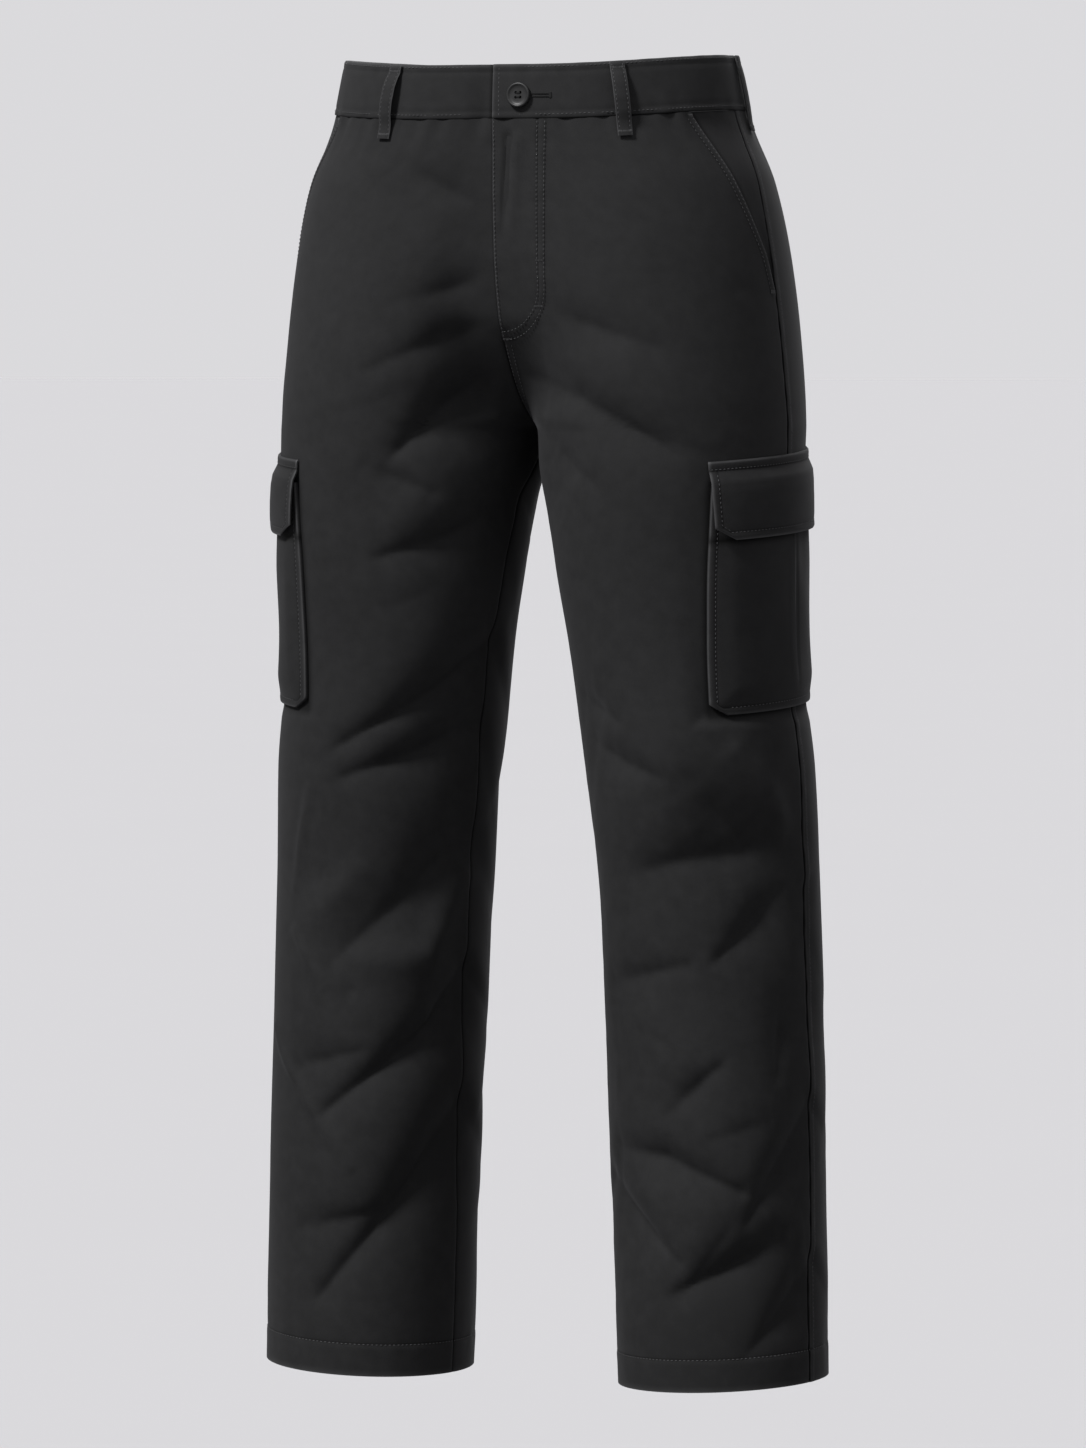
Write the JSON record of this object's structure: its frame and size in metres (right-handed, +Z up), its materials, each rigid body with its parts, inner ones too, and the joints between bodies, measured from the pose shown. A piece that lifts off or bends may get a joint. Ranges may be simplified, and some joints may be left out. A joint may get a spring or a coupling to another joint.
{
  "type": "cargo trousers",
  "caption": "Worn-form cotton cargo trousers with a buttoned waistband, belt loops, slant hip pockets and flapped cargo pockets on straight open legs.",
  "frame": {"origin": "centre of the waist opening, level with the top of the waistband at the sides, where the wearer's waist holds the trousers", "axes": "+Z up, -Y out of the front, +X towards the wearer's left"},
  "size_m": [0.4618, 0.2543, 1.0402],
  "materials": {
    "twill": "matt black cotton twill",
    "twill_trim": "matt black cotton twill, pressed and topstitched",
    "button": "satin charcoal plastic"
  },
  "bodies": {
    "root": {"waistband": "twill", "fly_shield": "twill_trim", "button": "button", "belt_loop_back": "twill_trim", "front_left": "twill", "back_left": "twill", "hip_facing_left": "twill_trim", "cargo_pocket_left": "twill", "cargo_flap_left": "twill_trim", "belt_loop_front_left": "twill_trim", "belt_loop_side_left": "twill_trim", "front_right": "twill", "back_right": "twill", "hip_facing_right": "twill_trim", "cargo_pocket_right": "twill", "cargo_flap_right": "twill_trim", "belt_loop_front_right": "twill_trim", "belt_loop_side_right": "twill_trim"}
  },
  "joints": []
}
